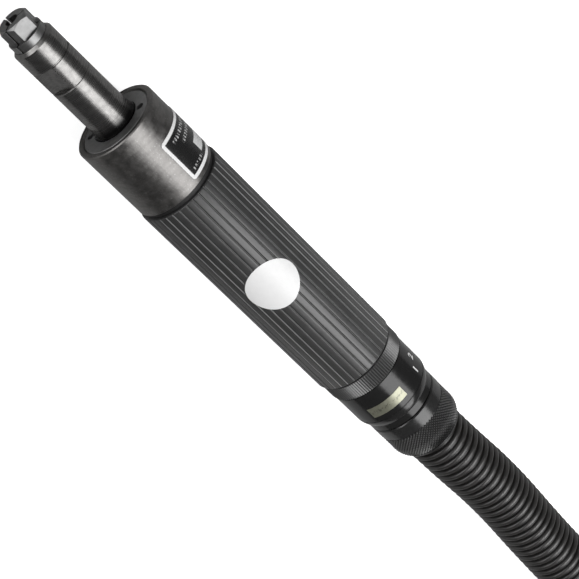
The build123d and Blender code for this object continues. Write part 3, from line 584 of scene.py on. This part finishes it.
def hose_nut():
    rear, front, radius = span("hose_nut")
    mouth = 14.55 * MM
    inner = 15.5 * MM
    around_count = 2 * round(2 * pi * radius / KNURL_PITCH)
    knurl_front = front - KNURL_START
    rows = 2 * round((knurl_front - rear - 0.6 * MM) / KNURL_PITCH)
    angles = [360 / around_count * k for k in range(around_count)]
    plain = [(front, inner), (front, radius - 0.5 * MM), (front - 0.42 * MM, radius - 0.08 * MM),
             (front - 0.5 * MM, radius - 0.02 * MM), (knurl_front + 0.8 * MM, radius - 0.02 * MM),
             (knurl_front + 0.45 * MM, radius - 0.08 * MM), (knurl_front + 0.25 * MM, radius - 0.3 * MM)]
    vertices, faces = [], []

    def add_ring(points):
        vertices.extend(points)
        return len(vertices) - len(points)

    starts = [add_ring([on_axis(x, reach, angle) for angle in angles]) for x, reach in plain]
    for row in range(rows + 1):
        x = knurl_front - row * KNURL_PITCH / 2
        base = nut_radius(x, rear, radius, mouth)
        edge = row in (0, rows)
        starts.append(add_ring([
            on_axis(x, base - (KNURL_DEPTH if edge or (k + row) % 2 else 0.0), angle)
            for k, angle in enumerate(angles)]))
    x_last = knurl_front - rows * KNURL_PITCH / 2
    for x, reach in ((x_last - 0.15 * MM, nut_radius(x_last, rear, radius, mouth) - 0.35 * MM),
                     (rear, mouth + 0.4 * MM), (rear, mouth), (rear + 4 * MM, mouth)):
        starts.append(add_ring([on_axis(x, reach, angle) for angle in angles]))
    first_knurl = len(plain)
    for row, (here, below) in enumerate(zip(starts, starts[1:])):
        knurled = first_knurl <= row < first_knurl + rows
        for k in range(around_count):
            after = (k + 1) % around_count
            a, b, c, d = here + k, here + after, below + after, below + k
            if not knurled:
                faces.append((a, b, c, d))
            elif (k + row - first_knurl) % 2:
                faces += [(a, b, c), (a, c, d)]
            else:
                faces += [(a, b, d), (b, c, d)]
    piece = make_object("hose_nut_knurled", vertices, faces, sharp=18.0)
    dress(piece, nut_material())
    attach(piece, "hose_nut")
    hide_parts("hose_nut")


# ---- printed digits on the rear body ----
def digit(name, text, x, angle, height, material):
    """A printed digit lying on the rear body, its top towards the collet."""
    radius = span("rear_body")[2] + 0.04 * MM
    curve = bpy.data.curves.new(name, "FONT")
    curve.body = text
    curve.size = height / 0.7
    curve.align_x = "CENTER"
    curve.align_y = "CENTER"
    curve.offset = 0.05 * height
    carrier = bpy.data.objects.new(name + "_font", curve)
    bpy.context.scene.collection.objects.link(carrier)
    mesh = bpy.data.meshes.new_from_object(carrier)
    bpy.data.objects.remove(carrier)
    for vertex in mesh.vertices:
        across, tall = vertex.co.x, vertex.co.y
        vertex.co = on_axis(x + tall, radius, angle - degrees(across / radius))
    mesh.name = name
    piece = bpy.data.objects.new(name, mesh)
    bpy.context.scene.collection.objects.link(piece)
    dress(piece, material)
    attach(piece, "housing")


def scale_digits():
    white = label_material("print_white", 0.8, 0.0, 0.5)
    rear, front, radius = span("rear_body")
    for text, from_front, angle in (("1", 12.0, -48.0), ("2", 7.8, -62.0)):
        digit("scale_digit_" + text, text, front - from_front * MM, angle, 3.4 * MM, white)


# ---- materials ----
def hose_material():
    m = Shader("hose_plastic")
    m.color(m.mix(m.remap(m.noise(0.2, 4.0), 0.3, 0.7, 0.0, 1.0), grey(0.016, 0.05), grey(0.026, 0.05)))
    m.rough(m.remap(m.noise(0.8, 5.0), 0.3, 0.7, 0.3, 0.4))
    m.surface.inputs["Specular IOR Level"].default_value = 0.85
    m.bump(m.noise(6.0, 4.0), 0.01)
    return m.material


def rubber_material(name, shade):
    return coated(name, shade, 0.55, grain=1.5, grain_depth=0.03, edge=0.3, specular=0.4)


def grip_material():
    return coated("grip_anodised_black", 0.036, 0.34, grain=1.2, grain_depth=0.006, edge=0.0, specular=0.75)


def ring_material(radius):
    """Black knurling, paler on its crests, partly rubbed wear and partly painted highlight, and near black
    in its grooves as painted shade.
    """
    m = Shader("ring_black_knurl")
    # colour by radius: crests painted paler, partly rub wear and partly painted highlight; grooves near
    # black, painted shade
    crest = m.remap(m.radius(), radius - 0.42, radius - 0.06, 0.0, 1.0)
    m.color(m.mix(crest, grey(0.008), m.mix(m.noise(1.2, 3.0), grey(0.05), grey(0.1))))
    m.rough(m.remap(m.noise(0.8, 4.0), 0.3, 0.7, 0.28, 0.36))
    m.surface.inputs["Specular IOR Level"].default_value = 0.8
    return m.material


def nut_material():
    """Gloss black on the plain band; on the knurl duller, with crests painted paler, partly wear and partly
    painted highlight, and valleys near black as painted shade.
    """
    m = Shader("nut_black_gloss")
    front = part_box("hose_nut")[1][0]
    m.place()
    radius = span("hose_nut")[2] / MM
    crest_low, crest_high = radius - KNURL_DEPTH / MM * 0.8, radius
    knurl = m.remap(m.along, (front - KNURL_START) / MM - 0.2, (front - KNURL_START) / MM + 0.2, 1.0, 0.0)
    cloud = m.remap(m.noise(0.6, 4.0), 0.3, 0.7, 0.0, 1.0)
    band = m.mix(cloud, grey(0.012), grey(0.017))
    # knurl colour by radius: crests painted paler, partly wear and partly painted highlight; valleys darker
    # than the band, painted shade
    wear_and_highlight = m.remap(m.radius(), crest_low, crest_high, 0.0, 1.0)
    m.color(m.mix(knurl, band, m.mix(wear_and_highlight, grey(0.008), grey(0.13))))
    m.rough(m.math("ADD", m.remap(knurl, 0.0, 1.0, 0.22, 0.3), m.remap(cloud, 0.0, 1.0, -0.02, 0.03)))
    m.surface.inputs["Specular IOR Level"].default_value = 0.7
    return m.material


def plate_material(node):
    """A black foil plate: a pale border, rows of plain strokes and a pale field for a serial stamp."""
    low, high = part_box(node)
    m = Shader("printed_foil_plate")
    angle = m.angle()
    m.place()
    rear, front = low[0] / MM, high[0] / MM
    inner_x = m.inside(m.along, rear + 1.5, front - 1.5, 0.08)
    inner_a = m.inside(angle, -101.8, -20.2, 0.25)
    panel = m.math("MULTIPLY", inner_x, inner_a)
    colour = m.mix(panel, grey(0.92), grey(0.012))
    field_x = m.inside(m.along, rear + 3.6, rear + 9.0, 0.08)
    field = m.math("MULTIPLY", field_x, m.inside(angle, -98, -54, 0.3))
    colour = m.mix(field, colour, grey(0.75))
    strokes = m.inside(m.math("FRACT", m.math("MULTIPLY", angle, 0.21)), 0.12, 0.62, 0.08)
    broken = m.remap(m.noise(1.3, 1.0), 0.42, 0.5, 0.0, 1.0)
    marks = m.math("MULTIPLY", strokes, broken)
    lines = ((3.4, 1.7, -92, -31, 0.6), (6.9, 1.7, -92, -42, 0.6), (14.4, 1.3, -92, -62, 0.6),
             (17.6, 1.3, -50, -26, 0.5))
    for behind, height, start, end, shade in lines:
        row = m.math("MULTIPLY", m.inside(m.along, front - behind - height, front - behind, 0.1),
                     m.inside(angle, start, end, 0.3))
        colour = m.mix(m.math("MULTIPLY", row, marks), colour, grey(shade))
    m.color(colour)
    m.rough(m.remap(m.noise(1.5), 0.3, 0.7, 0.22, 0.32))
    m.bump(m.noise(4.0), 0.004)
    return m.material


def gold_label_material(node):
    """Pale gold foil with a row of faded print marks along its middle."""
    low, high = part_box(node)
    middle = (low[0] + high[0]) / 2 / MM
    m = Shader("label_gold_foil")
    m.set(metallic=0.75)
    m.place()
    fade = m.remap(m.noise(0.5, 3.0), 0.3, 0.7, 0.0, 1.0)
    colour = m.mix(fade, (0.3, 0.3, 0.23, 1.0), (0.36, 0.36, 0.28, 1.0))
    row = m.inside(m.along, middle - 0.9, middle + 0.9, 0.3)
    marks = m.remap(m.noise(0.9, 2.0), 0.5, 0.6, 0.0, 0.55)
    m.color(m.mix(m.math("MULTIPLY", row, marks), colour, grey(0.06)))
    m.rough(m.remap(m.noise(3.0), 0.3, 0.7, 0.33, 0.42))
    m.bump(m.noise(1.2, 3.0), 0.01)
    return m.material


def label_material(name, shade, warm, rough):
    m = Shader(name)
    fade = m.remap(m.noise(0.5, 3.0), 0.3, 0.7, 0.0, 1.0)
    m.color(m.mix(fade, grey(shade * 0.97, warm), grey(shade, warm)))
    m.rough(m.remap(m.noise(3.0), 0.3, 0.7, rough - 0.03, rough + 0.05))
    m.bump(m.noise(1.2, 3.0), 0.01)
    return m.material


def housing_material():
    """Dark oiled steel with stains, faint rings and streaks round it."""
    m = Shader("housing_dark_steel")
    m.set(metallic=1.0)
    marks = m.line_noise(m.math("ADD", m.radius(), m.along), 4.0)
    stains = m.noise(0.32, 6.0)
    streaks = m.noise(0.35, 4.0, vector=m.scaled((1.6, 0.3, 0.3)))
    tone = m.math("ADD", m.math("MULTIPLY", stains, 0.6), m.math("MULTIPLY", streaks, 0.4))
    colour = m.mix(m.remap(tone, 0.36, 0.62, 0.0, 1.0), grey(0.13, 0.03), grey(0.21, 0.03))
    specks = m.remap(m.noise(1.6, 3.0), 0.6, 0.72, 0.0, 0.5)
    m.color(m.mix(specks, colour, grey(0.4)))
    m.rough(m.math("ADD", m.remap(stains, 0.35, 0.65, 0.34, 0.44), m.remap(marks, 0.3, 0.7, -0.03, 0.03)))
    m.bump(m.math("ADD", marks, m.math("MULTIPLY", stains, 1.5)), 0.005, edge=0.2)
    return m.material


def spindle_material():
    """Dark ground steel, with painted shade, near black, at the foot of the flare."""
    m = Shader("spindle_dark_steel")
    m.set(metallic=1.0)
    marks = m.line_noise(m.math("ADD", m.radius(), m.along), 3.0)
    blotch = m.noise(0.4, 5.0)
    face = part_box("front_housing")[1][0] / MM
    tone = m.math("ADD", m.math("MULTIPLY", marks, 0.15), m.math("MULTIPLY", blotch, 0.85))
    body = m.mix(m.remap(tone, 0.38, 0.62, 0.0, 1.0), grey(0.165, 0.02), grey(0.225, 0.02))
    # painted shade: the colour fades to near black over the flare at the spindle's foot
    painted_shade_at_flare = m.remap(m.along, face + 1.6, face + 5.6, 1.0, 0.0)
    m.color(m.mix(painted_shade_at_flare, body, grey(0.025)))
    m.rough(m.remap(marks, 0.3, 0.7, 0.25, 0.28))
    m.bump(marks, 0.0005, edge=0.12)
    return m.material


def cage_material():
    m = Shader("cage_brass_pressed")
    m.set(metallic=1.0)
    m.color(m.mix(m.noise(1.0), (0.62, 0.42, 0.16, 1.0), (0.78, 0.58, 0.27, 1.0)))
    m.rough(m.remap(m.noise(2.0), 0.3, 0.7, 0.28, 0.4))
    m.bump(m.noise(5.0), 0.01, edge=0.1)
    return m.material


def brass_material():
    m = Shader("brass_turned")
    m.set(metallic=1.0)
    marks = m.line_noise(m.math("ADD", m.radius(), m.along), 5.0)
    m.color(m.mix(marks, (0.66, 0.47, 0.2, 1.0), (0.82, 0.64, 0.33, 1.0)))
    m.rough(m.remap(marks, 0.3, 0.7, 0.2, 0.33))
    m.bump(marks, 0.004, edge=0.12)
    return m.material


def sintered_material():
    m = Shader("sintered_bronze")
    m.set(metallic=1.0)
    cells = m.node("ShaderNodeTexVoronoi")
    m.join(m.place(), cells.inputs["Vector"])
    cells.inputs["Scale"].default_value = 3.0
    m.color(m.mix(m.remap(cells.outputs["Distance"], 0.1, 0.5, 0.0, 1.0), (0.42, 0.28, 0.14, 1.0),
                  (0.14, 0.09, 0.05, 1.0)))
    m.rough(0.6)
    m.bump(m.math("SUBTRACT", 1.0, cells.outputs["Distance"]), 0.15)
    return m.material


def vane_material():
    m = Shader("vane_phenolic")
    weave = m.noise(3.0, 5.0, vector=m.scaled((0.3, 2.0, 2.0)))
    m.color(m.mix(weave, (0.16, 0.08, 0.035, 1.0), (0.3, 0.17, 0.08, 1.0)))
    m.rough(0.55)
    m.bump(weave, 0.02, edge=0.1)
    return m.material


def paint_all():
    steel = turned_metal("steel_satin", 0.5, 0.3)
    collet_steel = turned_metal("collet_steel", 0.24, 0.38, mark_scale=4.0, edge=0.2)
    cap_steel = turned_metal("cap_steel", 0.3, 0.46, mark_scale=6.0, mottle=0.12)
    bearing_steel = turned_metal("bearing_steel_ground", 0.62, 0.14, mark_depth=0.001, mottle=0.02)
    iron = turned_metal("iron_ground", 0.28, 0.42, mottle=0.12)
    aluminium = turned_metal("aluminium_machined", 0.6, 0.36, mottle=0.05)
    plated = turned_metal("plated_steel_bright", 0.66, 0.2, mottle=0.03)
    brass = brass_material()
    black_rubber = rubber_material("seal_rubber", 0.02)
    table = {
        "collet": collet_steel, "spindle": spindle_material(), "front_housing": housing_material(),
        "front_cap": cap_steel, "data_plate": plate_material("data_plate"),
        "grip_label": label_material("label_white_vinyl", 0.88, 0.0, 0.35),
        "tail_label": gold_label_material("tail_label"),
        "rear_body": coated("rear_body_gloss", 0.01, 0.19, grain=0.5, grain_depth=0.001, edge=0.2),
        "motor_housing": aluminium, "valve_body": aluminium, "rotor_vanes": vane_material(),
        "exhaust_muffler": sintered_material(), "inlet_stem": brass, "stem_ferrule": brass,
        "plug_ferrule": brass, "throttle_sleeve": brass, "air_plug": plated,
        "end_cuff": rubber_material("cuff_moulded_rubber", 0.028),
    }
    by_slot = {
        "satin_steel": steel, "bearing_steel": bearing_steel, "cage_brass": cage_material(),
        "black_rubber": black_rubber, "cast_iron": iron,
    }
    slots = {part["node"]: part["material_slot"] for part in frame["record"]["subparts"]}
    for node, slot in slots.items():
        material = table.get(node) or by_slot.get(slot)
        if material:
            paint(node, material)


def write_sizes(first, last):
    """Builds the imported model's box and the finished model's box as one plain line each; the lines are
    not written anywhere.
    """
    for low, high in (first, last):
        " ".join(f"{value:.5f}" for value in (*low, *high)) + "\n"


make_camera()
make_stage()
exhaust_hose()
air_hose()
grip()
throttle_ring()
hose_nut()
scale_digits()
paint_all()
write_sizes(start_box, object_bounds())
